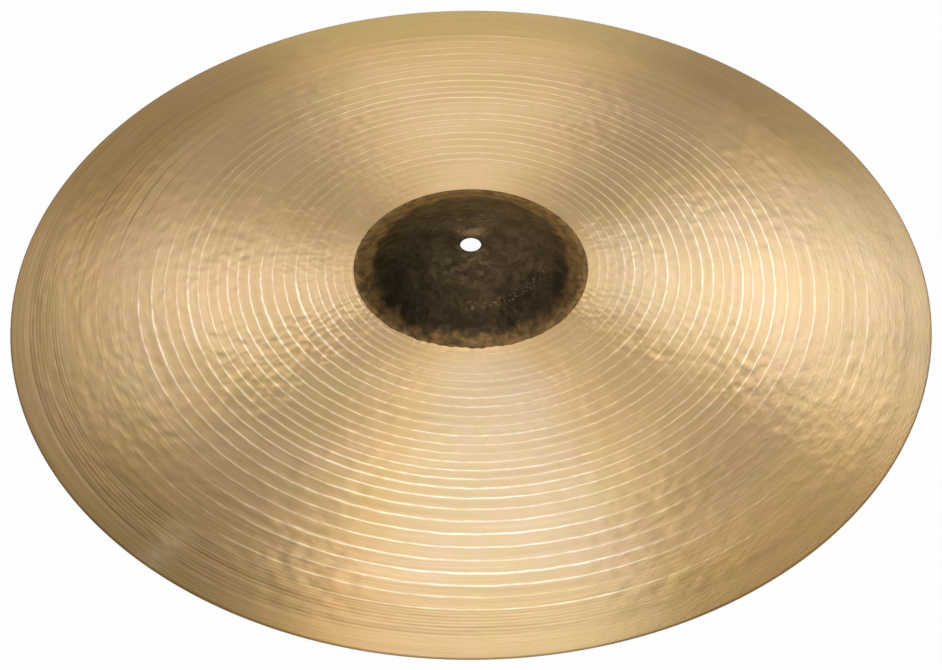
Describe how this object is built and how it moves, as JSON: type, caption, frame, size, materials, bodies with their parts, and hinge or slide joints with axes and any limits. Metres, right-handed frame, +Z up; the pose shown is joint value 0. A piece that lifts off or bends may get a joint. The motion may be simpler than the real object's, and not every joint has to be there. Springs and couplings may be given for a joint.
{
  "type": "ride cymbal",
  "caption": "Large hammered and lathed bronze ride cymbal with a raised raw bell, a hollow bow turned with tonal grooves, a thin edge and a centre hole for a stand rod.",
  "frame": {"origin": "on the cymbal's axis, in the plane that the underside of its edge rests on", "axes": "+Z up along the hole's axis, from the hollow side to the crown of the bell; the cymbal is a body of revolution, so X and Y are any two square directions"},
  "size_m": [0.5588, 0.5588, 0.047],
  "materials": {
    "bell_bronze": "hammered and lathed bell bronze, clear satin, with a dark fired bell"
  },
  "bodies": {
    "root": {"cymbal": "bell_bronze"}
  },
  "joints": []
}
